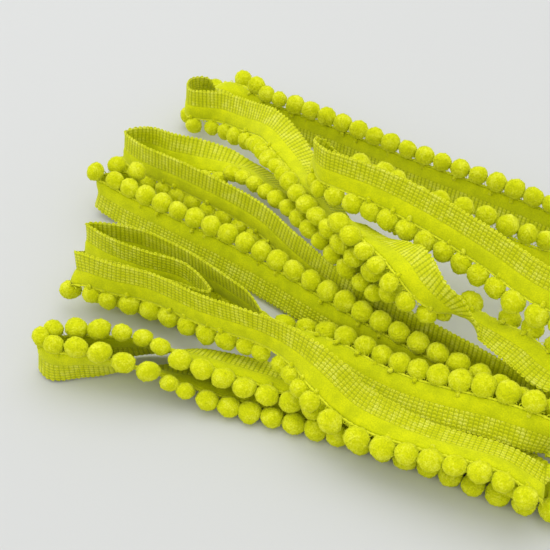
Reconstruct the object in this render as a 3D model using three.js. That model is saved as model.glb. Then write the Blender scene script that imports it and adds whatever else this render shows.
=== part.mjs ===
// A pompom fringe trim: one long woven heading tape with a row of plush pompoms hung
// along one edge, laid back and forth as a loose bundle that lies on a level surface.
// Units are millimetres, +Z is up and the surface is at Z = 0.
import * as THREE from 'three';

// Tape
const TAPE_WIDTH = 10;
const TAPE_THICKNESS = 1;

// Pompoms, measured across the trim from the middle of the tape
const POMPOM_PITCH = 6;
const STRIP_INNER = 5.7;
const STRIP_OUTER = 6.3;
const STRIP_HALF_THICKNESS = 0.4;
const ROOT_HALF_LENGTH = 1;
const POMPOM_SHOULDER = 7.4;
const POMPOM_CHEEK = 9.2;
const POMPOM_TIP = 10.7;
const POMPOM_HALF_LENGTH = 2.3;
const POMPOM_HALF_DEPTH = 2.5;
const TIP_HALF_LENGTH = 1.2;
const TIP_HALF_DEPTH = 1.3;
const MOST_POMPOMS = 300;

// Pompoms are squeezed where the trim bends sharply: each keeps to its share of the
// way to the next one, a smaller share the more the two are turned to one another
const STRAIGHT_SHARE = 0.5;
const BENT_SHARE = 0.35;
const FULL_BEND = Math.PI / 4;
const POMPOM_CLEARANCE = 0.15;
const POMPOM_REACH = 8.3;

// How finely the tape is divided
const RING_SPACING = 7;
const RING_TURN = 11 * Math.PI / 180;
const TRACK_STEP = 0.5;

// The bundle's own middle, so that the part sits centred over the origin
const CENTRE_X = 13.68;
const CENTRE_Y = 9.34;

// Colours
const TAPE_COLOUR = 0xc9dc08;
const POMPOM_COLOUR = 0xd4e60c;

// Where the middle of the tape runs, in order along the trim. A row has: the place of
// the tape's middle X, Y and Z, and TURN, the way the pompoms point, in degrees about
// the X axis: 90 is up, 180 or -180 is to the front, -90 is down and 0 is to the back.
const PASSES = {
  dStart: [
    [-56.2, 5.2, 7.6, 80],
    [-64, 5.4, 7.8, 78],
  ],
  dFold: [
    [-68.4, -1.4, 7.8, 74],
  ],
  dFront: [
    [-60.4, -1.7, 6.6, 68],
    [-47.3, -0.3, 6, 64],
    [-17.7, 2, 5.8, 60],
    [-2.1, 2.1, 6, 62],
    [27.9, 1.2, 6.2, 66],
    [47, 1.4, 6.5, 68],
    [58, 2.4, 6.4, 74],
    [70, 3.6, 6.4, 79],
    [80, 4.2, 7, 83],
  ],
  dRight: [
    [87, 0.9, 11.3, 90],
  ],
  faceUp: [
    [80, -3.2, 13.8, 54],
    [70, -4.9, 12.3, 48],
    [60, -7.5, 10.8, 38],
    [50, -9.8, 9.8, 28],
    [40, -10.8, 9.2, 20],
    [30, -10.6, 9, 12],
    [20, -10.8, 8.9, -10],
    [9, -11, 9.6, -48],
  ],
  e1Back: [
    [-2, -10.6, 11.1, -84],
    [-28, -10.2, 11, -93],
    [-43, -13.2, 10.9, -96],
  ],
  e1Fold: [
    [-52.8, -20.7, 11.6, -102],
  ],
  e1Front: [
    [-48.8, -21.2, 11.6, -102],
    [-43.2, -20.9, 11.6, -102],
    [-32.6, -18.6, 11.6, -100],
    [-20, -14.6, 11.3, -96],
  ],
  e1Turn: [
    [-8.4, -17.8, 10.9, -94],
  ],
  e2Back: [
    [-19, -21.5, 10.9, -94],
    [-34, -25.9, 11.1, -96],
  ],
  e2Fold: [
    [-44, -32.5, 13.8, -104],
  ],
  e2Front: [
    [-39.4, -32.4, 15.5, -104],
    [-33, -30.4, 15.1, -103],
    [-22.8, -25.9, 14.6, -100],
    [-6, -23.9, 15.4, -98],
    [9.8, -21.5, 17.7, -96],
    [16, -20.4, 17.7, -100],
    [25, -21.4, 19, -112],
    [34, -22.8, 18.6, -138],
    [44, -22.5, 14, -160],
    [60, -18, 10.8, -188],
    [80, -12.7, 12.3, -193],
  ],
  e2Right: [
    [90, -11, 9.9, -191],
  ],
  aBack: [
    [82, -7.2, 6.6, -188],
    [60, -9.6, 6, -188],
    [40, -15, 5.7, -188],
    [20, -22.9, 6.1, -188],
    [0, -30.1, 6.6, -205],
    [-14, -36.4, 5.7, -244],
    [-26, -47.3, 5.6, -282],
  ],
  aFold: [
    [-35, -56, 5.6, -280],
  ],
  aFront: [
    [-30, -57, 5.6, -284],
    [-22, -50.9, 5.6, -265],
    [-13, -43.8, 5, -230],
    [-2, -35.5, 2.9, -200],
    [5, -32.3, 2.6, -188],
    [12, -29, 2.5, -180],
    [33, -21, 2.5, -180],
    [61, -12.5, 2.5, -180],
    [79, -8.5, 2.5, -180],
    [85.5, -6.9, 2.9, -178],
    [92, -4.8, 4.1, -173],
    [96, -3, 7.2, -155],
    [99.5, -0.6, 9.7, -132],
  ],
  aRight: [
    [103, 4.5, 11, -95],
  ],
  cRight: [
    [96, 10, 11, -94],
    [80, 10, 10.9, -95],
    [60, 10, 10.9, -96],
    [46, 9.6, 10.9, -98],
  ],
  cFront: [
    [34, 9, 10.9, -102],
    [17.8, 8.9, 11.2, -106],
    [-4, 13.4, 10.9, -106],
    [-20.4, 16.8, 11.9, -104],
    [-46.5, 15.5, 13.1, -102],
    [-67.1, 14.6, 12.1, -102],
  ],
  cFold: [
    [-73.8, 16.2, 12.1, -102],
  ],
  cBack: [
    [-73.3, 19, 12.1, -104],
    [-70, 23.3, 11.2, -106],
    [-61.1, 24.3, 12, -116],
    [-46, 30.5, 11.3, -165],
    [-38, 33, 11, -200],
    [-25, 31.5, 11.5, -206],
    [-13, 28.3, 13, -208],
    [7, 20.5, 14.7, -210],
    [18, 16.4, 14.8, -210],
    [28, 13.9, 15.1, -210],
  ],
  cTurn: [
    [33.5, 12.8, 17.4, -210],
  ],
  bFront: [
    [27, 14.4, 20.6, -210],
    [19, 16.4, 20.6, -210],
    [8, 20.8, 20.7, -208],
    [-10.6, 31, 20, -196],
    [-18, 36, 19.7, -182],
    [-28.5, 41, 20.2, -162],
    [-39, 45.5, 19.5, -138],
    [-50, 48.5, 15.7, -120],
    [-63.1, 49.6, 12.8, -110],
    [-73.8, 45.7, 12.1, -102],
  ],
  bFold: [
    [-77.5, 50.5, 12, -94],
  ],
  bBack: [
    [-75.5, 56, 11.9, -66],
    [-70, 60, 10.2, 0],
    [-63, 61.5, 7.8, 58],
    [-55, 62, 6.3, 76],
    [-47, 63.7, 5.9, 76],
    [-27.3, 65.9, 5.9, 76],
    [-15, 66.6, 5.9, 76],
    [2.8, 68, 6, 74],
    [22.8, 70.4, 6.1, 72],
    [50, 72, 6.3, 72],
    [60, 69, 7.5, 70],
  ],
  bRight: [
    [64.5, 60, 11.5, 66],
  ],
  fBack: [
    [62, 50, 16, 58],
    [55.3, 41.9, 19.5, 52],
    [34.6, 35.9, 23.3, 54],
    [18.6, 30.9, 24.3, 54],
    [11, 31.5, 26, 40],
    [3, 33.3, 29.3, -8],
    [-5, 32.5, 31.5, -60],
  ],
  fFold: [
    [-8.8, 28.7, 33.6, -85],
  ],
  fFront: [
    [-3, 24.6, 35, -102],
    [2, 24.6, 35.5, -106],
    [13.8, 26.1, 35.7, -112],
    [28.8, 27.4, 34.3, -116],
    [50.4, 24.8, 34.4, -117],
    [64, 22.4, 34, -120],
    [80, 22.3, 33.6, -119],
  ],
  fRight: [
    [90, 18, 28.5, -92],
  ],
  lastRun: [
    [78.8, 12.3, 18.5, 12],
    [66.7, 13.4, 19.5, 10],
    [57.1, 13.2, 20.4, -12],
    [52.7, 10, 24.4, -54],
    [47.8, 7.4, 28.6, -92],
    [42, 8, 30.5, -120],
    [36, 10.5, 32, -152],
    [30, 13.3, 30.6, -184],
    [21, 16, 27.9, -208],
    [11, 19.6, 25.9, -216],
  ],
};

const UP_FRONT = new THREE.Vector3(0, 1, 0);

/** One row for each place along the trim, with its turn in radians. */
function places() {
  const rows = Object.values(PASSES).flat();
  return rows.map(([x, y, z, turn]) => ({
    point: new THREE.Vector3(x - CENTRE_X, y - CENTRE_Y, z),
    turn: THREE.MathUtils.degToRad(turn),
  }));
}

/** A smooth point between the second and third of four places. */
function between(p0, p1, p2, p3, share) {
  const t0 = 0;
  const t1 = t0 + Math.sqrt(p1.distanceTo(p0));
  const t2 = t1 + Math.sqrt(p2.distanceTo(p1));
  const t3 = t2 + Math.sqrt(p3.distanceTo(p2));
  const t = t1 + (t2 - t1) * share;
  const mix = (a, b, ta, tb) => a.clone().lerp(b, (t - ta) / (tb - ta));
  const a1 = mix(p0, p1, t0, t1);
  const a2 = mix(p1, p2, t1, t2);
  const a3 = mix(p2, p3, t2, t3);
  const b1 = mix(a1, a2, t0, t2);
  const b2 = mix(a2, a3, t1, t3);
  return mix(b1, b2, t1, t2);
}

/** The finely stepped middle line of the trim: point, turn and length so far. */
function trackOf(rows) {
  const first = rows[0];
  const last = rows[rows.length - 1];
  const before = { point: first.point.clone().multiplyScalar(2).sub(rows[1].point) };
  const after = { point: last.point.clone().multiplyScalar(2).sub(rows[rows.length - 2].point) };
  const all = [before, ...rows, after];
  const track = [];
  for (let i = 1; i < all.length - 2; i += 1) {
    const count = Math.ceil(all[i + 1].point.distanceTo(all[i].point) / TRACK_STEP);
    for (let k = 0; k < count; k += 1) {
      const share = k / count;
      const eased = 0.5 * share + 0.5 * share * share * (3 - 2 * share);
      track.push({
        point: between(all[i - 1].point, all[i].point, all[i + 1].point, all[i + 2].point, share),
        turn: all[i].turn + (all[i + 1].turn - all[i].turn) * eased,
      });
    }
  }
  track.push({ point: last.point.clone(), turn: last.turn });
  let run = 0;
  track.forEach((step, i) => {
    if (i > 0) {
      run += step.point.distanceTo(track[i - 1].point);
    }
    step.run = run;
    const from = track[Math.max(i - 1, 0)].point;
    const to = track[Math.min(i + 1, track.length - 1)].point;
    step.along = to.clone().sub(from).normalize();
    step.across = UP_FRONT.clone().applyAxisAngle(new THREE.Vector3(1, 0, 0), step.turn);
    step.across.addScaledVector(step.along, -step.across.dot(step.along)).normalize();
    step.normal = step.along.clone().cross(step.across);
  });
  return track;
}

/** The track's place and directions at a length along the trim. */
function at(track, run) {
  let low = 0;
  let high = track.length - 1;
  while (high - low > 1) {
    const middle = (low + high) >> 1;
    if (track[middle].run <= run) {
      low = middle;
    } else {
      high = middle;
    }
  }
  const a = track[low];
  const b = track[high];
  const share = (run - a.run) / (b.run - a.run);
  const along = a.along.clone().lerp(b.along, share).normalize();
  const across = a.across.clone().lerp(b.across, share);
  across.addScaledVector(along, -across.dot(along)).normalize();
  return {
    point: a.point.clone().lerp(b.point, share),
    along,
    across,
    normal: along.clone().cross(across),
  };
}

/** A corner of a cross-section: so far across, so far out and so far along. */
function corner(place, across, out, along = 0) {
  return place.point.clone()
    .addScaledVector(place.across, across)
    .addScaledVector(place.normal, out)
    .addScaledVector(place.along, along);
}

/** Collects corners and faces into one closed mesh. */
class Shell {
  constructor() {
    this.points = [];
    this.faces = [];
  }

  ring(corners) {
    const start = this.points.length;
    this.points.push(...corners);
    return corners.map((_, i) => start + i);
  }

  face(a, b, c, d) {
    this.faces.push([a, b, c], [a, c, d]);
  }

  wall(from, to, left = -1) {
    const n = from.length;
    for (let i = 0; i < n; i += 1) {
      if (i !== left) {
        this.face(from[i], from[(i + 1) % n], to[(i + 1) % n], to[i]);
      }
    }
  }

  end(ring, outward) {
    for (let i = 1; i < ring.length - 1; i += 1) {
      this.faces.push(outward ? [ring[0], ring[i], ring[i + 1]] : [ring[0], ring[i + 1], ring[i]]);
    }
  }

  geometry() {
    const flat = this.faces.flatMap((face) => face.flatMap((i) => this.points[i].toArray()));
    const geometry = new THREE.BufferGeometry();
    geometry.setAttribute('position', new THREE.Float32BufferAttribute(flat, 3));
    geometry.computeVertexNormals();
    return geometry;
  }
}

/** Lengths along the trim where the tape has a cross-section: closer where it bends. */
function tapeRuns(track) {
  const runs = [0];
  let last = track[0];
  for (const step of track) {
    const bend = last.along.angleTo(step.along) + last.across.angleTo(step.across);
    if (step.run - last.run >= RING_SPACING || bend >= RING_TURN) {
      runs.push(step.run);
      last = step;
    }
  }
  const total = track[track.length - 1].run;
  if (total - runs[runs.length - 1] < 1) {
    runs.pop();
  }
  runs.push(total);
  return runs;
}

/** The woven heading tape, one ribbon from end to end. */
function headingTape(track) {
  const shell = new Shell();
  const half = TAPE_WIDTH / 2;
  const thick = TAPE_THICKNESS / 2;
  let last = null;
  for (const run of tapeRuns(track)) {
    const place = at(track, run);
    const ring = shell.ring([
      corner(place, -half, -thick),
      corner(place, half, -thick),
      corner(place, half, thick),
      corner(place, -half, thick),
    ]);
    if (last) {
      shell.wall(last, ring);
    } else {
      shell.end(ring, false);
    }
    last = ring;
  }
  shell.end(last, true);
  return shell.geometry();
}

/** How much of its full size a pompom keeps beside its neighbour. */
function squeezeBetween(a, b) {
  const apart = corner(a, POMPOM_REACH, 0).distanceTo(corner(b, POMPOM_REACH, 0));
  const bend = Math.min(1, (a.along.angleTo(b.along) + a.across.angleTo(b.across)) / FULL_BEND);
  const share = STRAIGHT_SHARE - (STRAIGHT_SHARE - BENT_SHARE) * bend;
  return Math.min(1, (apart * share - POMPOM_CLEARANCE) / POMPOM_HALF_DEPTH);
}

/** The narrow strip beside the tape, with a pompom grown from it at every pitch. */
function pompomFringe(track) {
  const shell = new Shell();
  const total = track[track.length - 1].run;
  const count = Math.min(MOST_POMPOMS, Math.floor(total / POMPOM_PITCH));
  const start = (total - (count - 1) * POMPOM_PITCH) / 2;
  const stripRing = (place, along) => shell.ring([
    corner(place, STRIP_INNER, 0, along),
    corner(place, STRIP_OUTER, -STRIP_HALF_THICKNESS, along),
    corner(place, STRIP_OUTER, STRIP_HALF_THICKNESS, along),
  ]);
  const square = (place, across, length, depth) => shell.ring([
    corner(place, across, -depth, -length),
    corner(place, across, -depth, length),
    corner(place, across, depth, length),
    corner(place, across, depth, -length),
  ]);
  const all = Array.from({ length: count }, (_, k) => at(track, start + k * POMPOM_PITCH));
  let last = null;
  for (let k = 0; k < count; k += 1) {
    const place = all[k];
    const squeeze = Math.min(
      k > 0 ? squeezeBetween(all[k - 1], place) : 1,
      k < count - 1 ? squeezeBetween(place, all[k + 1]) : 1,
    );
    const enter = stripRing(place, -ROOT_HALF_LENGTH);
    const leave = stripRing(place, ROOT_HALF_LENGTH);
    if (last) {
      shell.wall(last, enter);
    } else {
      shell.end(enter, false);
    }
    shell.wall(enter, leave, 1);
    const root = [enter[1], leave[1], leave[2], enter[2]];
    const length = POMPOM_HALF_LENGTH * squeeze;
    const depth = POMPOM_HALF_DEPTH * squeeze;
    const shoulder = square(place, POMPOM_SHOULDER, length, depth);
    const cheek = square(place, POMPOM_CHEEK, length, depth);
    const tip = square(place, POMPOM_TIP, TIP_HALF_LENGTH * squeeze, TIP_HALF_DEPTH * squeeze);
    shell.wall(shoulder, root);
    shell.wall(cheek, shoulder);
    shell.wall(tip, cheek);
    shell.end(tip, false);
    last = leave;
  }
  shell.end(last, true);
  return shell.geometry();
}

/** A named mesh with a cloth-like material of its own. */
function piece(name, geometry, colour) {
  const material = new THREE.MeshStandardMaterial({ color: colour, roughness: 0.9, metalness: 0 });
  const mesh = new THREE.Mesh(geometry, material);
  mesh.name = name;
  return mesh;
}

const track = trackOf(places());
const part = new THREE.Group();
part.name = 'pompom_fringe_trim';
part.add(piece('heading_tape', headingTape(track), TAPE_COLOUR));
part.add(piece('pompom_fringe', pompomFringe(track), POMPOM_COLOUR));

export default part;
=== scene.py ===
import math

import bmesh
import bpy
import numpy as np
from mathutils import Matrix, Vector, noise

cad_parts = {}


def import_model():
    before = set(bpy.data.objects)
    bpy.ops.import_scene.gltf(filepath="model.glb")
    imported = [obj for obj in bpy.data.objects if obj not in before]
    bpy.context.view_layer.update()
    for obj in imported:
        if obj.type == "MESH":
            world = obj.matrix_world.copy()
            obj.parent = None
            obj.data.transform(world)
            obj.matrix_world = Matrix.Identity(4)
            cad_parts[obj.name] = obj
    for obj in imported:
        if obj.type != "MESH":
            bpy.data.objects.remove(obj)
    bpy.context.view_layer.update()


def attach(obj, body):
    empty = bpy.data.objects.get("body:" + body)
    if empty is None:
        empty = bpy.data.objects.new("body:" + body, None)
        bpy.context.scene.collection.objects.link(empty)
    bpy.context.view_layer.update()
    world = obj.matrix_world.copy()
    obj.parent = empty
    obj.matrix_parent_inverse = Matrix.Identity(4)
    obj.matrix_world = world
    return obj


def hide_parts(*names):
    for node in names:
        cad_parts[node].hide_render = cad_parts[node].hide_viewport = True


MM = 0.001
UV_PER_MM = 0.1

# Tape, measured across the trim from its middle: the braid lies on the plain edge's side
TAPE_EDGE = -4.95
EDGE_SWAY = 0.14
BRAID_START = -4.2
WALE_COUNT = 5
WALE_WIDTH = 0.92
BRAID_HALF_THICKNESS = 0.3
WALE_RISE = 0.11
WALE_GROOVE = 0.06
STITCH = 1.3
STATIONS_PER_STITCH = 2
STITCH_FLOOR = 0.35

# On the ribbed face the wales show less: how far they are evened out, and towards what
RIB_SHARE = 0.6
RIB_EVENNESS = 0.15

# How wide the painted shade in the gaps between stitches is, and the slanting plies of the thread
SHADED_GAP_SHARE = 0.11
PLY_PITCH = 0.42
PLY_RELIEF = 0.25

VELVET_START = 0.75
VELVET_END = 4.5
VELVET_HALF_THICKNESS = 0.55
VELVET_SHOULDER = 0.45
PILE_UNEVEN = 0.07

# Threads: the binding, the picots along the plain edge and the loops between the roots
BINDING_ACROSS = 4.85
BINDING_RADIUS = 0.33
BINDING_BEAD = 0.08
BINDING_SIDES = 8
THREAD_RADIUS = 0.16
PICOT_REACH = 0.42
PICOT_HALF_LENGTH = 0.5
PICOT_INSET = 0.12
ROOT_LOOP_ACROSS = 5.2
ROOT_LOOP_REACH = 0.75
ROOT_LOOP_HALF_LENGTH = 0.55
ROOT_LOOPS_PER_POMPOM = 4

# Pompoms
POMPOM_PITCH = 6
POMPOM_CENTRE = 7.35
POMPOM_HALF_LENGTH = 3.5
POMPOM_HALF_WIDTH = 3.45
POMPOM_HALF_DEPTH = 2.9
POMPOM_SHAPES = 5
POMPOM_FULLNESS = 0.97
WIDE_LUMPS = (1.3, 0.13)
SMALL_LUMPS = (3.6, 0.05)
ROOT_PULL = 0.06
SIZE_CHANGE = 0.1
LEAN = 0.3
BALL_FINENESS = 2
TUFT_DENSITY = 3.2
TUFT_LEAN = 0.5
TUFT_LENGTH = 0.2
TUFT_RADIUS = 0.11
NECK_RADIUS = 0.8
NECK_TAPER = 0.7
NECK_LENGTH = 1.6
NECK_REACH = 0.2
NECK_SIDES = 6
MOST_POMPOMS = 300
ROWS_OF_POMPOMS = 4

# Pompoms are squeezed where the trim bends sharply, where the solids are too, but less
STRAIGHT_SHARE = 0.5
BENT_SHARE = 0.35
FULL_BEND = math.pi / 4
POMPOM_CLEARANCE = 0.15
POMPOM_REACH = 8.3
SOLID_HALF_DEPTH = 2.5
LEAST_SQUEEZE = 0.88

TRACK_STEP = 0.5
CENTRE_X = 13.68
CENTRE_Y = 9.34

# Where the middle of the tape runs, in order along the trim. A row has: X, Y and Z, and
# TURN, the way the pompoms point, in degrees about the X axis: 90 is up, 180 or -180 is to
# the front, -90 is down and 0 is to the back.
PASSES = {
    "d_start": [
        (-56.2, 5.2, 7.6, 80),
        (-64, 5.4, 7.8, 78),
    ],
    "d_fold": [
        (-68.4, -1.4, 7.8, 74),
    ],
    "d_front": [
        (-60.4, -1.7, 6.6, 68),
        (-47.3, -0.3, 6, 64),
        (-17.7, 2, 5.8, 60),
        (-2.1, 2.1, 6, 62),
        (27.9, 1.2, 6.2, 66),
        (47, 1.4, 6.5, 68),
        (58, 2.4, 6.4, 74),
        (70, 3.6, 6.4, 79),
        (80, 4.2, 7, 83),
    ],
    "d_right": [
        (87, 0.9, 11.3, 90),
    ],
    "face_up": [
        (80, -3.2, 13.8, 54),
        (70, -4.9, 12.3, 48),
        (60, -7.5, 10.8, 38),
        (50, -9.8, 9.8, 28),
        (40, -10.8, 9.2, 20),
        (30, -10.6, 9, 12),
        (20, -10.8, 8.9, -10),
        (9, -11, 9.6, -48),
    ],
    "e1_back": [
        (-2, -10.6, 11.1, -84),
        (-28, -10.2, 11, -93),
        (-43, -13.2, 10.9, -96),
    ],
    "e1_fold": [
        (-52.8, -20.7, 11.6, -102),
    ],
    "e1_front": [
        (-48.8, -21.2, 11.6, -102),
        (-43.2, -20.9, 11.6, -102),
        (-32.6, -18.6, 11.6, -100),
        (-20, -14.6, 11.3, -96),
    ],
    "e1_turn": [
        (-8.4, -17.8, 10.9, -94),
    ],
    "e2_back": [
        (-19, -21.5, 10.9, -94),
        (-34, -25.9, 11.1, -96),
    ],
    "e2_fold": [
        (-44, -32.5, 13.8, -104),
    ],
    "e2_front": [
        (-39.4, -32.4, 15.5, -104),
        (-33, -30.4, 15.1, -103),
        (-22.8, -25.9, 14.6, -100),
        (-6, -23.9, 15.4, -98),
        (9.8, -21.5, 17.7, -96),
        (16, -20.4, 17.7, -100),
        (25, -21.4, 19, -112),
        (34, -22.8, 18.6, -138),
        (44, -22.5, 14, -160),
        (60, -18, 10.8, -188),
        (80, -12.7, 12.3, -193),
    ],
    "e2_right": [
        (90, -11, 9.9, -191),
    ],
    "a_back": [
        (82, -7.2, 6.6, -188),
        (60, -9.6, 6, -188),
        (40, -15, 5.7, -188),
        (20, -22.9, 6.1, -188),
        (0, -30.1, 6.6, -205),
        (-14, -36.4, 5.7, -244),
        (-26, -47.3, 5.6, -282),
    ],
    "a_fold": [
        (-35, -56, 5.6, -280),
    ],
    "a_front": [
        (-30, -57, 5.6, -284),
        (-22, -50.9, 5.6, -265),
        (-13, -43.8, 5, -230),
        (-2, -35.5, 2.9, -200),
        (5, -32.3, 2.6, -188),
        (12, -29, 2.5, -180),
        (33, -21, 2.5, -180),
        (61, -12.5, 2.5, -180),
        (79, -8.5, 2.5, -180),
        (85.5, -6.9, 2.9, -178),
        (92, -4.8, 4.1, -173),
        (96, -3, 7.2, -155),
        (99.5, -0.6, 9.7, -132),
    ],
    "a_right": [
        (103, 4.5, 11, -95),
    ],
    "c_right": [
        (96, 10, 11, -94),
        (80, 10, 10.9, -95),
        (60, 10, 10.9, -96),
        (46, 9.6, 10.9, -98),
    ],
    "c_front": [
        (34, 9, 10.9, -102),
        (17.8, 8.9, 11.2, -106),
        (-4, 13.4, 10.9, -106),
        (-20.4, 16.8, 11.9, -104),
        (-46.5, 15.5, 13.1, -102),
        (-67.1, 14.6, 12.1, -102),
    ],
    "c_fold": [
        (-73.8, 16.2, 12.1, -102),
    ],
    "c_back": [
        (-73.3, 19, 12.1, -104),
        (-70, 23.3, 11.2, -106),
        (-61.1, 24.3, 12, -116),
        (-46, 30.5, 11.3, -165),
        (-38, 33, 11, -200),
        (-25, 31.5, 11.5, -206),
        (-13, 28.3, 13, -208),
        (7, 20.5, 14.7, -210),
        (18, 16.4, 14.8, -210),
        (28, 13.9, 15.1, -210),
    ],
    "c_turn": [
        (33.5, 12.8, 17.4, -210),
    ],
    "b_front": [
        (27, 14.4, 20.6, -210),
        (19, 16.4, 20.6, -210),
        (8, 20.8, 20.7, -208),
        (-10.6, 31, 20, -196),
        (-18, 36, 19.7, -182),
        (-28.5, 41, 20.2, -162),
        (-39, 45.5, 19.5, -138),
        (-50, 48.5, 15.7, -120),
        (-63.1, 49.6, 12.8, -110),
        (-73.8, 45.7, 12.1, -102),
    ],
    "b_fold": [
        (-77.5, 50.5, 12, -94),
    ],
    "b_back": [
        (-75.5, 56, 11.9, -66),
        (-70, 60, 10.2, 0),
        (-63, 61.5, 7.8, 58),
        (-55, 62, 6.3, 76),
        (-47, 63.7, 5.9, 76),
        (-27.3, 65.9, 5.9, 76),
        (-15, 66.6, 5.9, 76),
        (2.8, 68, 6, 74),
        (22.8, 70.4, 6.1, 72),
        (50, 72, 6.3, 72),
        (60, 69, 7.5, 70),
    ],
    "b_right": [
        (64.5, 60, 11.5, 66),
    ],
    "f_back": [
        (62, 50, 16, 58),
        (55.3, 41.9, 19.5, 52),
        (34.6, 35.9, 23.3, 54),
        (18.6, 30.9, 24.3, 54),
        (11, 31.5, 26, 40),
        (3, 33.3, 29.3, -8),
        (-5, 32.5, 31.5, -60),
    ],
    "f_fold": [
        (-8.8, 28.7, 33.6, -85),
    ],
    "f_front": [
        (-3, 24.6, 35, -102),
        (2, 24.6, 35.5, -106),
        (13.8, 26.1, 35.7, -112),
        (28.8, 27.4, 34.3, -116),
        (50.4, 24.8, 34.4, -117),
        (64, 22.4, 34, -120),
        (80, 22.3, 33.6, -119),
    ],
    "f_right": [
        (90, 18, 28.5, -92),
    ],
    "last_run": [
        (78.8, 12.3, 18.5, 12),
        (66.7, 13.4, 19.5, 10),
        (57.1, 13.2, 20.4, -12),
        (52.7, 10, 24.4, -54),
        (47.8, 7.4, 28.6, -92),
        (42, 8, 30.5, -120),
        (36, 10.5, 32, -152),
        (30, 13.3, 30.6, -184),
        (21, 16, 27.9, -208),
        (11, 19.6, 25.9, -216),
    ],
}

# Which face of the tape shows the crosswise ribs of the braid's back: 1 is the face on the
# left of the way along when the pompoms hang down, -1 is the other. Unlisted passes have 1.
RIBBED_FACE = {
    "d_start": -1,
    "d_fold": -1,
    "d_front": -1,
    "a_front": -1,
    "c_back": -1,
}

# Camera, in the part's own frame
VIEW_AZIMUTH = math.radians(39)
VIEW_ELEVATION = math.radians(45)
VIEW_DISTANCE = 290
VIEW_TARGET = (-CENTRE_X, -CENTRE_Y, 13.5)
VIEW_ANGLE = math.radians(29.2)
SENSOR = 36

# Studio, in metres and watts
FLOOR_SIZE = 3
OVERHEAD = {"place": (-0.15, 0.25, 0.9), "power": 3, "size": 1.0}
WINDOW = {"place": (-0.7, -0.35, 0.6), "power": 1.8, "size": 0.9}
SKY_STRENGTH = 0.81

# Colours, linear
YARN = (0.76, 0.80, 0.0, 1)
YARN_LIGHT = (0.86, 0.90, 0.02, 1)
YARN_DEEP = (0.62, 0.68, 0.0, 1)
VELVET = (0.64, 0.70, 0.0, 1)
VELVET_DEEP = (0.54, 0.60, 0.0, 1)
# Painted shade: the darker colour put in the gaps between the braid's stitches
BRAID_GAP_SHADE = (0.45, 0.51, 0.0, 1)
# Painted highlight: the pale colour of gloss on the braid's stitches, laid in random patches by the
# fibre noise
BRAID_PAINTED_HIGHLIGHT = (0.90, 0.93, 0.13, 1)
POMPOM_LIGHT = (0.90, 0.94, 0.06, 1)
FLOOR = (0.635, 0.645, 0.638, 1)

# Whorls of cut yarn in a pompom, with painted shade in their grooves: how fine, how many turns, and how
# deep the painted shade and the relief are
WHORL_SCALE = 180.0
WHORL_TURNS = 60.0
WHORL_SHADE_AND_DEPTH = 0.32


# ---------------------------------------------------------------- the trim's middle line


def between(p0, p1, p2, p3, shares):
    """Smooth points between the second and third of four places."""
    t0 = 0.0
    t1 = t0 + math.sqrt(np.linalg.norm(p1 - p0))
    t2 = t1 + math.sqrt(np.linalg.norm(p2 - p1))
    t3 = t2 + math.sqrt(np.linalg.norm(p3 - p2))
    t = (t1 + (t2 - t1) * shares)[:, None]

    def mix(a, b, ta, tb):
        return a + (b - a) * (t - ta) / (tb - ta)

    a1 = mix(p0, p1, t0, t1)
    a2 = mix(p1, p2, t1, t2)
    a3 = mix(p2, p3, t2, t3)
    return mix(mix(a1, a2, t0, t2), mix(a2, a3, t1, t3), t1, t2)


def unit(vectors):
    """The vectors at length 1."""
    return vectors / np.linalg.norm(vectors, axis=-1, keepdims=True)


class Track:
    """The finely stepped middle line of the trim, with its directions at each step."""

    def __init__(self):
        rows = [(*row, RIBBED_FACE.get(name, 1)) for name, rows in PASSES.items() for row in rows]
        table = np.array(rows, float)
        points = table[:, :3] - (CENTRE_X, CENTRE_Y, 0)
        turns = np.radians(table[:, 3])
        ends = (2 * points[0] - points[1], 2 * points[-1] - points[-2])
        places = np.vstack([ends[0], points, ends[1]])
        steps, angles, faces = [], [], []
        for i in range(len(points) - 1):
            length = np.linalg.norm(points[i + 1] - points[i])
            count = math.ceil(length / TRACK_STEP)
            shares = np.arange(count) / count
            eased = 0.5 * shares + 0.5 * shares * shares * (3 - 2 * shares)
            steps.append(between(*places[i : i + 4], shares))
            angles.append(turns[i] + (turns[i + 1] - turns[i]) * eased)
            faces.append(table[i, 4] + (table[i + 1, 4] - table[i, 4]) * shares)
        self.point = np.vstack([*steps, points[-1:]])
        turn = np.concatenate([*angles, turns[-1:]])
        self.face = np.concatenate([*faces, table[-1:, 4]])
        moves = np.linalg.norm(np.diff(self.point, axis=0), axis=1)
        self.run = np.concatenate([[0], np.cumsum(moves)])
        self.length = self.run[-1]
        ahead = np.vstack([self.point[1:], self.point[-1:]])
        behind = np.vstack([self.point[:1], self.point[:-1]])
        self.along = unit(ahead - behind)
        across = np.column_stack([np.zeros(len(turn)), np.cos(turn), np.sin(turn)])
        self.across = unit(across - self.along * np.sum(across * self.along, axis=1)[:, None])

    def at(self, runs):
        """Place, along, across and normal at lengths along the trim."""

        def sample(values):
            return np.column_stack([np.interp(runs, self.run, values[:, k]) for k in range(3)])

        along = unit(sample(self.along))
        across = sample(self.across)
        across = unit(across - along * np.sum(across * along, axis=1)[:, None])
        return sample(self.point), along, across, np.cross(along, across)

    def face_at(self, runs):
        """Which face shows the ribs at lengths along the trim, from -1 to 1."""
        return np.interp(runs, self.run, self.face)


# ---------------------------------------------------------------- meshes


def mesh_object(name, points, faces):
    """A new object with a mesh of these points, in millimetres, and faces."""
    mesh = bpy.data.meshes.new(name)
    mesh.from_pydata((np.asarray(points) * MM).tolist(), [], faces)
    mesh.polygons.foreach_set("use_smooth", [True] * len(mesh.polygons))
    mesh.update()
    thing = bpy.data.objects.new(name, mesh)
    bpy.context.scene.collection.objects.link(thing)
    return thing


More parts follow.
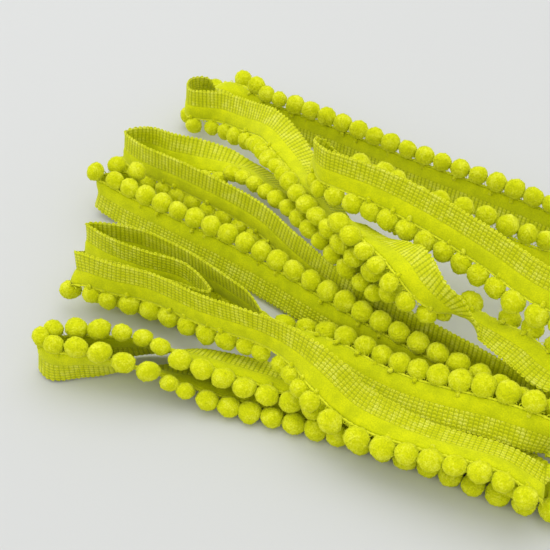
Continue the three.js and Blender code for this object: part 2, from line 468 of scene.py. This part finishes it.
def swept(name, track, runs, section, uneven=None):
    """A closed band along the trim. section(runs) gives across and out, a row for each run."""
    point, _, across, normal = track.at(runs)
    aside, out = section(runs)
    if uneven is not None:
        out = out * (1 + uneven(runs, aside))
    body = point[:, None] + aside[..., None] * across[:, None] + out[..., None] * normal[:, None]
    stations, around = aside.shape
    here = np.arange(stations - 1)[:, None] * around + np.arange(around)[None]
    step = np.arange(stations - 1)[:, None] * around + (np.arange(around)[None] + 1) % around
    quads = np.stack([here, here + around, step + around, step], axis=-1).reshape(-1, 4)
    first = list(range(around))
    last = list(range((stations - 1) * around, stations * around))[::-1]
    thing = mesh_object(name, body.reshape(-1, 3), [*quads.tolist(), first, last])
    uv = thing.data.uv_layers.new(name="Along and across")
    corners = np.empty(len(thing.data.loops), int)
    thing.data.loops.foreach_get("vertex_index", corners)
    along_run = np.repeat(runs, around)[corners]
    aside_run = aside.reshape(-1)[corners]
    uv.data.foreach_set("uv", np.column_stack([along_run, aside_run]).reshape(-1) * UV_PER_MM)
    return thing


def tape_side():
    """Across and half thickness of the tape's face from the plain edge to the pompom edge.
    A row has: across, half thickness, how much it rises on a stitch and on a rib."""
    rows = [(TAPE_EDGE, 0.14, 0.02, 0.02), (TAPE_EDGE + 0.3, 0.36, 0.06, 0.06)]
    for wale in range(WALE_COUNT):
        start = BRAID_START + wale * WALE_WIDTH
        rows.append((start, BRAID_HALF_THICKNESS - WALE_GROOVE, 0, WALE_RISE))
        rows.append((start + WALE_WIDTH / 2, BRAID_HALF_THICKNESS, WALE_RISE, WALE_RISE))
    end = BRAID_START + WALE_COUNT * WALE_WIDTH
    rows.append((end, BRAID_HALF_THICKNESS - WALE_GROOVE, 0, WALE_RISE / 2))
    full = VELVET_HALF_THICKNESS
    rows.append((VELVET_START, full * 0.72, 0, 0))
    rows.append((VELVET_START + VELVET_SHOULDER, full * 0.97, 0, 0))
    rows.append(((VELVET_START + VELVET_END) / 2, full, 0, 0))
    rows.append((VELVET_END - VELVET_SHOULDER, full * 0.95, 0, 0))
    rows.append((VELVET_END, full * 0.6, 0, 0))
    return np.array(rows)


def tape_section(track):
    """The tape's cross-section, with the braid's stitches raised on both faces."""
    side = tape_side()

    def section(runs):
        stitch = 0.5 - 0.5 * np.cos(2 * math.pi * runs / STITCH)
        face = track.face_at(runs)
        ribs = np.clip([0.5 + 0.5 * face, 0.5 - 0.5 * face], 0, 1)
        rises = [side[:, 2] + (side[:, 3] - side[:, 2]) * rib[:, None] for rib in ribs]
        front, back = [side[:, 1] + rise * (stitch[:, None] - STITCH_FLOOR) for rise in rises]
        sway = EDGE_SWAY * np.cos(2 * math.pi * runs / STITCH)[:, None] * (side[:, 0] < BRAID_START)
        aside = side[:, 0] + sway
        return np.hstack([aside, aside[:, ::-1]]), np.hstack([front, -back[:, ::-1]])

    return section


def pile_noise(runs, aside):
    """A soft unevenness of the velvet strip, none on the braid."""
    waves = np.sin(runs * 1.9)[:, None] * np.sin(aside * 1.7 + 0.6 * np.sin(runs * 0.7)[:, None])
    waves += 0.6 * np.sin(runs * 4.7 + 1.3)[:, None] * np.cos(aside * 3.1)
    return np.where(aside > VELVET_START, PILE_UNEVEN * waves, 0)


def heading_tape(track):
    """The heading: a braid of lengthwise wales and a velvet strip, made as one band."""
    runs = np.arange(0, track.length, STITCH / STATIONS_PER_STITCH)
    tape = swept("heading_tape_cloth", track, runs, tape_section(track), pile_noise)
    side = tape_side()
    width = len(side)
    velvet_from = int(np.argmax(side[:, 0] >= VELVET_START)) - 1
    around = np.arange(2 * width)
    on_face = np.where(around < width, around, 2 * width - 1 - around - 1)
    is_velvet = (on_face >= velvet_from).astype(int)
    count = len(tape.data.polygons)
    slots = np.zeros(count, int)
    slots[: count - 2] = np.tile(is_velvet, (count - 2) // (2 * width))
    tape.data.materials.append(braid_material())
    tape.data.materials.append(velvet_material())
    tape.data.polygons.foreach_set("material_index", slots)
    rib = tape.data.attributes.new("ribs", "FLOAT", "POINT")
    face = track.face_at(runs)[:, None]
    sign = np.where(around < width, 1, -1)[None]
    rib.data.foreach_set("value", np.clip(0.5 + 0.5 * face * sign, 0, 1).reshape(-1))
    return tape


def binding(track):
    """The beaded binding thread between the velvet strip and the pompoms."""
    runs = np.arange(0, track.length, STITCH / 2)
    angles = np.linspace(0, 2 * math.pi, BINDING_SIDES, endpoint=False)[None]

    def section(runs):
        bead = BINDING_RADIUS + BINDING_BEAD * np.cos(math.pi * np.arange(len(runs)))[:, None]
        return BINDING_ACROSS - bead * np.cos(angles), bead * 1.15 * np.sin(angles)

    thread = swept("binding_thread", track, runs, section)
    thread.data.materials.append(thread_material())
    return thread


def thread_arc(name, length, reach, sides=4, steps=7):
    """A small arch of thread on the plane of X and Y, open towards -Y, leaning along X."""
    points = []
    for k in range(steps):
        angle = math.pi * k / (steps - 1)
        middle = Vector((-length * math.cos(angle), reach * math.sin(angle), 0))
        inward = Vector((math.cos(angle), -math.sin(angle), 0))
        for s in range(sides):
            turn = 2 * math.pi * s / sides
            lift = Vector((0, 0, THREAD_RADIUS * math.sin(turn)))
            points.append(middle + inward * THREAD_RADIUS * math.cos(turn) + lift)
    faces = []
    for k in range(steps - 1):
        for s in range(sides):
            n = (s + 1) % sides
            faces.append((k * sides + s, (k + 1) * sides + s, (k + 1) * sides + n, k * sides + n))
    faces.append(tuple(range(sides)))
    faces.append(tuple(range((steps - 1) * sides, steps * sides))[::-1])
    return mesh_object(name, [tuple(p) for p in points], faces)


def pompom_shape(seed):
    """One pompom at its centre: X is along the trim and Y is away from the tape."""
    bm = bmesh.new()
    bmesh.ops.create_icosphere(bm, subdivisions=BALL_FINENESS, radius=1)
    size = Vector((POMPOM_HALF_LENGTH, POMPOM_HALF_WIDTH, POMPOM_HALF_DEPTH))
    shift = Vector((seed * 7.3, seed * 3.1, seed * 5.7))

    for vertex in bm.verts:
        way = vertex.co.normalized()
        lumps = [noise.noise(way * scale + shift) * depth for scale, depth in (WIDE_LUMPS, SMALL_LUMPS)]
        pull = ROOT_PULL * max(0, -way.y) ** 2
        fullness = POMPOM_FULLNESS + sum(lumps) - pull
        vertex.co = [a * fullness * b for a, b in zip(way, size)]
    neck = bmesh.ops.create_cone(
        bm,
        segments=NECK_SIDES,
        radius1=NECK_RADIUS,
        radius2=NECK_RADIUS * NECK_TAPER,
        depth=NECK_LENGTH,
        cap_ends=True,
    )["verts"]
    place = Matrix.Translation((0, -POMPOM_HALF_WIDTH - NECK_REACH, 0))
    bmesh.ops.transform(bm, matrix=place @ Matrix.Rotation(math.pi / 2, 4, "X"), verts=neck)
    for vertex in bm.verts:
        vertex.co *= MM
    mesh = bpy.data.meshes.new(f"pompom_shape_{seed}")
    bm.to_mesh(mesh)
    bm.free()
    mesh.polygons.foreach_set("use_smooth", [True] * len(mesh.polygons))
    thing = bpy.data.objects.new(mesh.name, mesh)
    bpy.context.scene.collection.objects.link(thing)
    return thing


# ---------------------------------------------------------------- laid along the trim


def laying_tree():
    """Uneven copies of a collection's shapes on marked points, with tufts where they are asked for."""
    tree = bpy.data.node_groups.new("Laid along the trim", "GeometryNodeTree")
    face = tree.interface
    face.new_socket("Points", in_out="INPUT", socket_type="NodeSocketGeometry")
    face.new_socket("Shapes", in_out="INPUT", socket_type="NodeSocketCollection")
    face.new_socket("Size change", in_out="INPUT", socket_type="NodeSocketFloat")
    face.new_socket("Lean", in_out="INPUT", socket_type="NodeSocketFloat")
    face.new_socket("Tuft density", in_out="INPUT", socket_type="NodeSocketFloat")
    face.new_socket("Tuft length", in_out="INPUT", socket_type="NodeSocketFloat")
    face.new_socket("Tuft radius", in_out="INPUT", socket_type="NodeSocketFloat")
    face.new_socket("Tuft lean", in_out="INPUT", socket_type="NodeSocketFloat")
    face.new_socket("Finish", in_out="INPUT", socket_type="NodeSocketMaterial")
    face.new_socket("Seed", in_out="INPUT", socket_type="NodeSocketInt")
    face.new_socket("Laid", in_out="OUTPUT", socket_type="NodeSocketGeometry")
    nodes, links = tree.nodes, tree.links
    given = nodes.new("NodeGroupInput")
    made = nodes.new("NodeGroupOutput")

    def marked(name, kind):
        node = nodes.new("GeometryNodeInputNamedAttribute")
        node.data_type = kind
        node.inputs["Name"].default_value = name
        return node.outputs["Attribute"]

    def aligned(axis, pivot, vector, rotation=None):
        node = nodes.new("FunctionNodeAlignRotationToVector")
        node.axis = axis
        node.pivot_axis = pivot
        links.new(vector, node.inputs["Vector"])
        if rotation:
            links.new(rotation, node.inputs["Rotation"])
        return node.outputs["Rotation"]

    lengthwise = aligned("X", "AUTO", marked("along", "FLOAT_VECTOR"))
    placed = aligned("Y", "X", marked("across", "FLOAT_VECTOR"), lengthwise)

    def leaning(most, rotation):
        """A rotation leant at random by up to that angle about each axis."""
        opposite = nodes.new("ShaderNodeMath")
        opposite.operation = "MULTIPLY"
        opposite.inputs[1].default_value = -1
        links.new(most, opposite.inputs[0])
        lean = nodes.new("FunctionNodeRandomValue")
        lean.data_type = "FLOAT_VECTOR"
        for socket, value in ((lean.inputs["Min"], opposite.outputs[0]), (lean.inputs["Max"], most)):
            spread = nodes.new("ShaderNodeCombineXYZ")
            for axis in "XYZ":
                links.new(value, spread.inputs[axis])
            links.new(spread.outputs[0], socket)
        links.new(given.outputs["Seed"], lean.inputs["Seed"])
        to_turn = nodes.new("FunctionNodeEulerToRotation")
        links.new(lean.outputs["Value"], to_turn.inputs[0])
        turned = nodes.new("FunctionNodeRotateRotation")
        turned.rotation_space = "LOCAL"
        links.new(rotation, turned.inputs[0])
        links.new(to_turn.outputs[0], turned.inputs[1])
        return turned.outputs[0]

    smallest = nodes.new("ShaderNodeMath")
    smallest.operation = "SUBTRACT"
    smallest.inputs[0].default_value = 1
    links.new(given.outputs["Size change"], smallest.inputs[1])
    size = nodes.new("FunctionNodeRandomValue")
    size.data_type = "FLOAT"
    links.new(smallest.outputs[0], size.inputs[2])
    size.inputs[3].default_value = 1
    links.new(given.outputs["Seed"], size.inputs["Seed"])
    scaled = nodes.new("ShaderNodeVectorMath")
    scaled.operation = "SCALE"
    links.new(marked("size", "FLOAT_VECTOR"), scaled.inputs[0])
    links.new(size.outputs[1], scaled.inputs["Scale"])

    shapes = nodes.new("GeometryNodeCollectionInfo")
    shapes.inputs["Separate Children"].default_value = True
    links.new(given.outputs["Shapes"], shapes.inputs["Collection"])
    pick = nodes.new("FunctionNodeRandomValue")
    pick.data_type = "INT"
    pick.inputs[4].default_value = 0
    pick.inputs[5].default_value = 1000
    links.new(given.outputs["Seed"], pick.inputs["Seed"])

    copies = nodes.new("GeometryNodeInstanceOnPoints")
    copies.inputs["Pick Instance"].default_value = True
    links.new(given.outputs["Points"], copies.inputs["Points"])
    links.new(shapes.outputs[0], copies.inputs["Instance"])
    links.new(pick.outputs[2], copies.inputs["Instance Index"])
    links.new(leaning(given.outputs["Lean"], placed), copies.inputs["Rotation"])
    links.new(scaled.outputs[0], copies.inputs["Scale"])
    real = nodes.new("GeometryNodeRealizeInstances")
    links.new(copies.outputs[0], real.inputs[0])

    scatter = nodes.new("GeometryNodeDistributePointsOnFaces")
    links.new(real.outputs[0], scatter.inputs["Mesh"])
    links.new(given.outputs["Tuft density"], scatter.inputs["Density"])
    links.new(given.outputs["Seed"], scatter.inputs["Seed"])
    spike = nodes.new("GeometryNodeMeshCone")
    spike.inputs["Vertices"].default_value = 3
    spike.inputs["Radius Top"].default_value = 0
    links.new(given.outputs["Tuft radius"], spike.inputs["Radius Bottom"])
    links.new(given.outputs["Tuft length"], spike.inputs["Depth"])
    soft = nodes.new("GeometryNodeSetShadeSmooth")
    links.new(spike.outputs["Mesh"], soft.inputs["Geometry"])
    tufts = nodes.new("GeometryNodeInstanceOnPoints")
    links.new(scatter.outputs["Points"], tufts.inputs["Points"])
    links.new(soft.outputs[0], tufts.inputs["Instance"])
    links.new(leaning(given.outputs["Tuft lean"], scatter.outputs["Rotation"]), tufts.inputs["Rotation"])
    real_tufts = nodes.new("GeometryNodeRealizeInstances")
    links.new(tufts.outputs[0], real_tufts.inputs[0])
    both = nodes.new("GeometryNodeJoinGeometry")
    links.new(real_tufts.outputs[0], both.inputs[0])
    links.new(real.outputs[0], both.inputs[0])
    finish = nodes.new("GeometryNodeSetMaterial")
    links.new(both.outputs[0], finish.inputs["Geometry"])
    links.new(given.outputs["Finish"], finish.inputs["Material"])
    links.new(finish.outputs[0], made.inputs["Laid"])
    return tree


def laid(name, tree, spots, shapes, settings):
    """One plain mesh of the shapes on the spots: point, along, across and size of each."""
    points, along, across, size = spots
    holder = mesh_object(f"{name}_spots", points, [])
    for label, values in (("along", along), ("across", across), ("size", size)):
        attribute = holder.data.attributes.new(label, "FLOAT_VECTOR", "POINT")
        attribute.data.foreach_set("vector", np.asarray(values, float).reshape(-1))
    box = bpy.data.collections.new(f"{name}_shapes")
    for shape in shapes:
        box.objects.link(shape)
    modifier = holder.modifiers.new("Laid along the trim", "NODES")
    modifier.node_group = tree
    for item in tree.interface.items_tree:
        value = {**settings, "Shapes": box}.get(item.name)
        if value is not None:
            modifier[item.identifier] = value
    depsgraph = bpy.context.evaluated_depsgraph_get()
    mesh = bpy.data.meshes.new_from_object(holder.evaluated_get(depsgraph))
    mesh.name = name
    bpy.data.objects.remove(holder)
    bpy.data.collections.remove(box)
    for attribute in [a for a in mesh.attributes if a.name in ("along", "across", "size")]:
        mesh.attributes.remove(attribute)
    thing = bpy.data.objects.new(name, mesh)
    bpy.context.scene.collection.objects.link(thing)
    return thing


def discard(shapes):
    """Takes away shapes that were only copied from."""
    for shape in shapes:
        mesh = shape.data
        bpy.data.objects.remove(shape)
        bpy.data.meshes.remove(mesh)


def angle_between(a, b):
    """The angle between each pair of directions."""
    return np.arccos(np.clip(np.sum(a * b, axis=1), -1, 1))


def squeezes(point, along, across):
    """How much of its full size each pompom keeps beside its neighbours."""
    reach = point + POMPOM_REACH * across
    apart = np.linalg.norm(np.diff(reach, axis=0), axis=1)
    bend = angle_between(along[:-1], along[1:]) + angle_between(across[:-1], across[1:])
    share = STRAIGHT_SHARE - (STRAIGHT_SHARE - BENT_SHARE) * np.minimum(1, bend / FULL_BEND)
    keep = np.minimum(1, (apart * share - POMPOM_CLEARANCE) / SOLID_HALF_DEPTH)
    return np.maximum(LEAST_SQUEEZE, np.minimum(np.append(keep, 1), np.insert(keep, 0, 1)))


def pompoms(track, tree):
    """The pompoms, in a few rows one after another along the trim."""
    count = min(MOST_POMPOMS, int(track.length // POMPOM_PITCH))
    start = (track.length - (count - 1) * POMPOM_PITCH) / 2
    runs = start + POMPOM_PITCH * np.arange(count)
    point, along, across, _ = track.at(runs)
    size = squeezes(point, along, across)[:, None] * np.ones(3)
    middle = point + POMPOM_CENTRE * across
    shapes = [pompom_shape(seed) for seed in range(POMPOM_SHAPES)]
    rows = []
    for k, part in enumerate(np.array_split(np.arange(count), ROWS_OF_POMPOMS)):
        spots = (middle[part], along[part], across[part], size[part])
        settings = {
            "Size change": SIZE_CHANGE,
            "Lean": LEAN,
            "Tuft density": TUFT_DENSITY / MM ** 2,
            "Tuft length": TUFT_LENGTH * MM,
            "Tuft radius": TUFT_RADIUS * MM,
            "Tuft lean": TUFT_LEAN,
            "Finish": pompom_material(),
            "Seed": 11 + k,
        }
        rows.append(laid(f"pompoms_{k + 1}", tree, spots, shapes, settings))
    discard(shapes)
    return rows


def picots(track, tree):
    """The slanting loops of thread along the plain edge of the braid."""
    runs = np.arange(STITCH / 2, track.length - STITCH / 2, STITCH)
    point, along, across, _ = track.at(runs)
    middle = point + (TAPE_EDGE + PICOT_INSET) * across
    shape = [thread_arc("picot", PICOT_HALF_LENGTH, PICOT_REACH)]
    settings = {"Size change": 0.2, "Lean": 0.25, "Finish": thread_material(), "Seed": 21}
    edge = laid("picot_edge", tree, (middle, along, -across, np.ones((len(runs), 3))), shape, settings)
    discard(shape)
    return edge


def root_loops(track, tree):
    """The small loops of thread that stand between the pompoms' roots."""
    pitch = POMPOM_PITCH / ROOT_LOOPS_PER_POMPOM
    runs = np.arange(pitch, track.length - 1, pitch)
    point, along, across, _ = track.at(runs)
    middle = point + ROOT_LOOP_ACROSS * across
    shape = [thread_arc("root_loop", ROOT_LOOP_HALF_LENGTH, ROOT_LOOP_REACH)]
    settings = {"Size change": 0.45, "Lean": 0.45, "Finish": thread_material(), "Seed": 31}
    loops = laid("root_loops", tree, (middle, along, across, np.ones((len(runs), 3))), shape, settings)
    discard(shape)
    return loops


# ---------------------------------------------------------------- materials


def node_maker(tree):
    """A function that adds a node and sets its inputs: a value, or another node's output."""

    def add(kind, sockets=None, **facts):
        node = tree.nodes.new(kind)
        for fact, value in facts.items():
            setattr(node, fact, value)
        for socket, value in (sockets or {}).items():
            if isinstance(value, bpy.types.NodeSocket):
                tree.links.new(value, node.inputs[socket])
            else:
                node.inputs[socket].default_value = value
        return node

    return add


def fibre_group():
    """Shared by all yarns: soft patches and fine fibres over a surface, from its place."""
    if "Fibres" in bpy.data.node_groups:
        return bpy.data.node_groups["Fibres"]
    group = bpy.data.node_groups.new("Fibres", "ShaderNodeTree")
    face = group.interface
    for name, kind, start in (
        ("Place", "NodeSocketVector", None),
        ("Patch size", "NodeSocketFloat", 400),
        ("Fibre size", "NodeSocketFloat", 2500),
        ("Deep", "NodeSocketColor", YARN_DEEP),
        ("Body", "NodeSocketColor", YARN),
        ("Light", "NodeSocketColor", YARN_LIGHT),
    ):
        socket = face.new_socket(name, in_out="INPUT", socket_type=kind)
        if start is not None:
            socket.default_value = start
    face.new_socket("Colour", in_out="OUTPUT", socket_type="NodeSocketColor")
    face.new_socket("Height", in_out="OUTPUT", socket_type="NodeSocketFloat")
    add = node_maker(group)
    given = add("NodeGroupInput").outputs

    def noise_of(size, detail):
        sockets = {"Vector": given["Place"], "Scale": given[size], "Detail": detail}
        return add("ShaderNodeTexNoise", sockets).outputs["Fac"]

    def colour_mix(share, a, b):
        return add("ShaderNodeMix", {0: share, 6: a, 7: b}, data_type="RGBA").outputs[2]

    patch = noise_of("Patch size", 3.0)
    fibre = noise_of("Fibre size", 2.0)
    both = add("ShaderNodeMix", {0: 0.5, 2: patch, 3: fibre}, data_type="FLOAT")
    low = add("ShaderNodeMapRange", {"Value": both.outputs[0], "From Min": 0.36, "From Max": 0.52})
    high = add("ShaderNodeMapRange", {"Value": both.outputs[0], "From Min": 0.5, "From Max": 0.64})
    body = colour_mix(low.outputs[0], given["Deep"], given["Body"])
    top = colour_mix(high.outputs[0], body, given["Light"])
    add("NodeGroupOutput", {"Colour": top, "Height": both.outputs[0]})
    return group


def fibres(add, place, **settings):
    """The fibre group placed in a material, with its own values."""
    node = add("ShaderNodeGroup", node_tree=fibre_group())
    node.id_data.links.new(place, node.inputs["Place"])
    for name, value in settings.items():
        node.inputs[name.replace("_", " ")].default_value = value
    return node.outputs


def new_material(name):
    """A new material with its node maker and its shader."""
    material = bpy.data.materials.new(name)
    material.use_nodes = True
    add = node_maker(material.node_tree)
    shader = material.node_tree.nodes["Principled BSDF"]
    return material, add, shader


def finished(material, add, shader, colour, height, depth, strength, rough, sheen):
    """Sets a yarn's colour, relief and gloss on its shader."""
    links = material.node_tree.links
    links.new(colour, shader.inputs["Base Color"])
    bump = add("ShaderNodeBump", {"Height": height, "Distance": depth * MM, "Strength": strength})
    links.new(bump.outputs["Normal"], shader.inputs["Normal"])
    shader.inputs["Roughness"].default_value = rough
    shader.inputs["Sheen Weight"].default_value = sheen
    shader.inputs["Sheen Roughness"].default_value = 0.45
    shader.inputs["Sheen Tint"].default_value = (0.98, 1.0, 0.2, 1)
    shader.inputs["Specular IOR Level"].default_value = 0.2
    return material


def kept(name, make):
    """The material of that name, made once."""
    return bpy.data.materials.get(name) or make(name)


def pompom_material():
    """Plush cut yarn: mottled, soft and matte, with painted shade in the grooves of its whorls."""

    def make(name):
        material, add, shader = new_material(name)
        place = add("ShaderNodeTexCoord").outputs["Object"]
        yarn = fibres(add, place, Patch_size=420, Fibre_size=2600, Light=POMPOM_LIGHT)
        drift = add("ShaderNodeTexNoise", {"Vector": place, "Scale": WHORL_SCALE, "Detail": 1.0})
        whorl = add("ShaderNodeMath", {0: drift.outputs["Fac"], 1: WHORL_TURNS}, operation="MULTIPLY")
        wave = add("ShaderNodeMath", {0: whorl.outputs[0]}, operation="SINE")
        # Along the whorl wave the colour is darkened towards YARN_DEEP as painted shade in the grooves,
        # where the bump is lowered too
        shade = add("ShaderNodeMapRange", {"Value": wave.outputs[0], "From Min": -0.2, "From Max": 1})
        soft = add("ShaderNodeMath", {0: shade.outputs[0], 1: WHORL_SHADE_AND_DEPTH}, operation="MULTIPLY")
        painted_whorl_shade = {0: soft.outputs[0], 6: yarn["Colour"], 7: YARN_DEEP}
        colour = add("ShaderNodeMix", painted_whorl_shade, data_type="RGBA")
        height = add("ShaderNodeMath", {0: yarn["Height"], 1: soft.outputs[0]}, operation="SUBTRACT")
        return finished(
            material, add, shader, colour.outputs[2], height.outputs[0], 0.35, 0.7, 0.9, 0.35
        )

    return kept("Pompom plush", make)


def velvet_material():
    """The velvet strip: short dense pile that lies in soft patches."""

    def make(name):
        material, add, shader = new_material(name)
        place = add("ShaderNodeTexCoord").outputs["Object"]
        yarn = fibres(
            add, place, Patch_size=260, Fibre_size=3000, Deep=VELVET_DEEP, Body=VELVET, Light=YARN
        )
        return finished(material, add, shader, yarn["Colour"], yarn["Height"], 0.2, 0.6, 0.85, 0.45)

    return kept("Velvet pile", make)


def thread_material():
    """The glossy twisted thread of the binding and of the loops."""

    def make(name):
        material, add, shader = new_material(name)
        place = add("ShaderNodeTexCoord").outputs["Object"]
        yarn = fibres(add, place, Patch_size=300, Fibre_size=3500, Body=YARN_LIGHT)
        return finished(material, add, shader, yarn["Colour"], yarn["Height"], 0.15, 0.5, 0.55, 0.2)

    return kept("Binding thread", make)


def braid_material():
    """The braid: puffed stitches in wales, with painted shade in the gaps and painted pale highlights in
    random patches, and slanting plies of thread.
    """

    def make(name):
        material, add, shader = new_material(name)
        uv = add("ShaderNodeUVMap", uv_map="Along and across").outputs["UV"]
        parts = add("ShaderNodeSeparateXYZ", {"Vector": uv})

        def maths(operation, a, b):
            return add("ShaderNodeMath", {0: a, 1: b}, operation=operation).outputs[0]

        def waved(value, pitch, start):
            """0 between two repeats and 1 in the middle of each."""
            turns = maths("SUBTRACT", value, start * UV_PER_MM)
            angle = maths("MULTIPLY", turns, 2 * math.pi / pitch / UV_PER_MM)
            wave = add("ShaderNodeMath", {0: angle}, operation="COSINE").outputs[0]
            return add("ShaderNodeMapRange", {"Value": wave, "From Min": 1, "From Max": -1}).outputs[0]

        stitch = waved(parts.outputs["X"], STITCH, 0)
        wale = waved(parts.outputs["Y"], WALE_WIDTH, BRAID_START)
        ribs = add("ShaderNodeAttribute", attribute_name="ribs").outputs["Fac"]
        ribbed = maths("MULTIPLY", ribs, RIB_SHARE)
        evened = add("ShaderNodeMix", {0: ribbed, 2: wale, 3: RIB_EVENNESS}, data_type="FLOAT")
        cell = maths("MULTIPLY", stitch, evened.outputs[0])
        lines = maths("ADD", parts.outputs["X"], parts.outputs["Y"])
        plies = waved(lines, PLY_PITCH, 0)
        # The fibre noise lays the painted pale highlight colour over the braid in random patches
        yarn = fibres(add, uv, Patch_size=3.0, Fibre_size=30.0, Body=YARN, Light=BRAID_PAINTED_HIGHLIGHT)
        # The stitches take the yarn colour; the gaps between them take the painted shade colour
        unshaded_share = add("ShaderNodeMapRange", {"Value": cell, "From Min": 0.0, "From Max": SHADED_GAP_SHARE})
        colour = add(
            "ShaderNodeMix",
            {0: unshaded_share.outputs[0], 6: BRAID_GAP_SHADE, 7: yarn["Colour"]},
            data_type="RGBA",
        )
        height = maths("ADD", cell, maths("MULTIPLY", plies, PLY_RELIEF))
        return finished(material, add, shader, colour.outputs[2], height, 0.35, 0.7, 0.6, 0.15)

    return kept("Braid thread", make)


def floor_material():
    """The plain pale surface."""
    material, add, shader = new_material("Pale surface")
    place = add("ShaderNodeTexCoord").outputs["Object"]
    cloud = add("ShaderNodeTexNoise", {"Vector": place, "Scale": 3.0})
    light = tuple(min(1, c * 1.02) for c in FLOOR[:3]) + (1,)
    tone = add("ShaderNodeMix", {0: cloud.outputs["Fac"], 6: FLOOR, 7: light}, data_type="RGBA")
    material.node_tree.links.new(tone.outputs[2], shader.inputs["Base Color"])
    shader.inputs["Roughness"].default_value = 0.8
    return material


# ---------------------------------------------------------------- studio


def area_light(name, place, power, size):
    """A soft light at a place in metres, turned to the heap."""
    data = bpy.data.lights.new(name, "AREA")
    data.energy = power
    data.size = size
    light = bpy.data.objects.new(name, data)
    light.location = place
    light.rotation_euler = (-Vector(place)).to_track_quat("-Z", "Y").to_euler()
    bpy.context.scene.collection.objects.link(light)


def studio():
    """A pale floor, soft light from above and a camera that looks down on the heap."""
    bpy.ops.mesh.primitive_plane_add(size=FLOOR_SIZE)
    floor = bpy.context.object
    floor.name = "pale_surface"
    floor.data.materials.append(floor_material())
    area_light("overhead", **OVERHEAD)
    area_light("window", **WINDOW)
    world = bpy.data.worlds.new("Studio")
    world.use_nodes = True
    sky = world.node_tree.nodes["Background"].inputs
    sky["Color"].default_value = (1, 1, 1, 1)
    sky["Strength"].default_value = SKY_STRENGTH
    bpy.context.scene.world = world
    bpy.context.scene.view_settings.view_transform = "Standard"

    data = bpy.data.cameras.new("Camera")
    data.sensor_width = SENSOR
    data.lens = SENSOR / (2 * math.tan(VIEW_ANGLE / 2))
    data.clip_start = 0.01
    camera = bpy.data.objects.new("Camera", data)
    level = math.cos(VIEW_ELEVATION)
    east = math.sin(VIEW_AZIMUTH) * level
    south = -math.cos(VIEW_AZIMUTH) * level
    back = Vector((east, south, math.sin(VIEW_ELEVATION)))
    camera.location = (Vector(VIEW_TARGET) + back * VIEW_DISTANCE) * MM
    camera.rotation_euler = back.to_track_quat("Z", "Y").to_euler()
    bpy.context.scene.collection.objects.link(camera)
    bpy.context.scene.camera = camera


def corners(box):
    """A box's corners as plain lists."""
    return [[float(c) for c in corner] for corner in box]


def main():
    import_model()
    track = Track()
    tree = laying_tree()
    tape = heading_tape(track)
    trims = [binding(track), picots(track, tree), root_loops(track, tree)]
    balls = pompoms(track, tree)
    bpy.data.node_groups.remove(tree)
    for piece in (tape, *trims):
        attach(piece, "root")
        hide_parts("heading_tape")
    for piece in balls:
        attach(piece, "root")
        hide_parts("pompom_fringe")
    studio()


main()
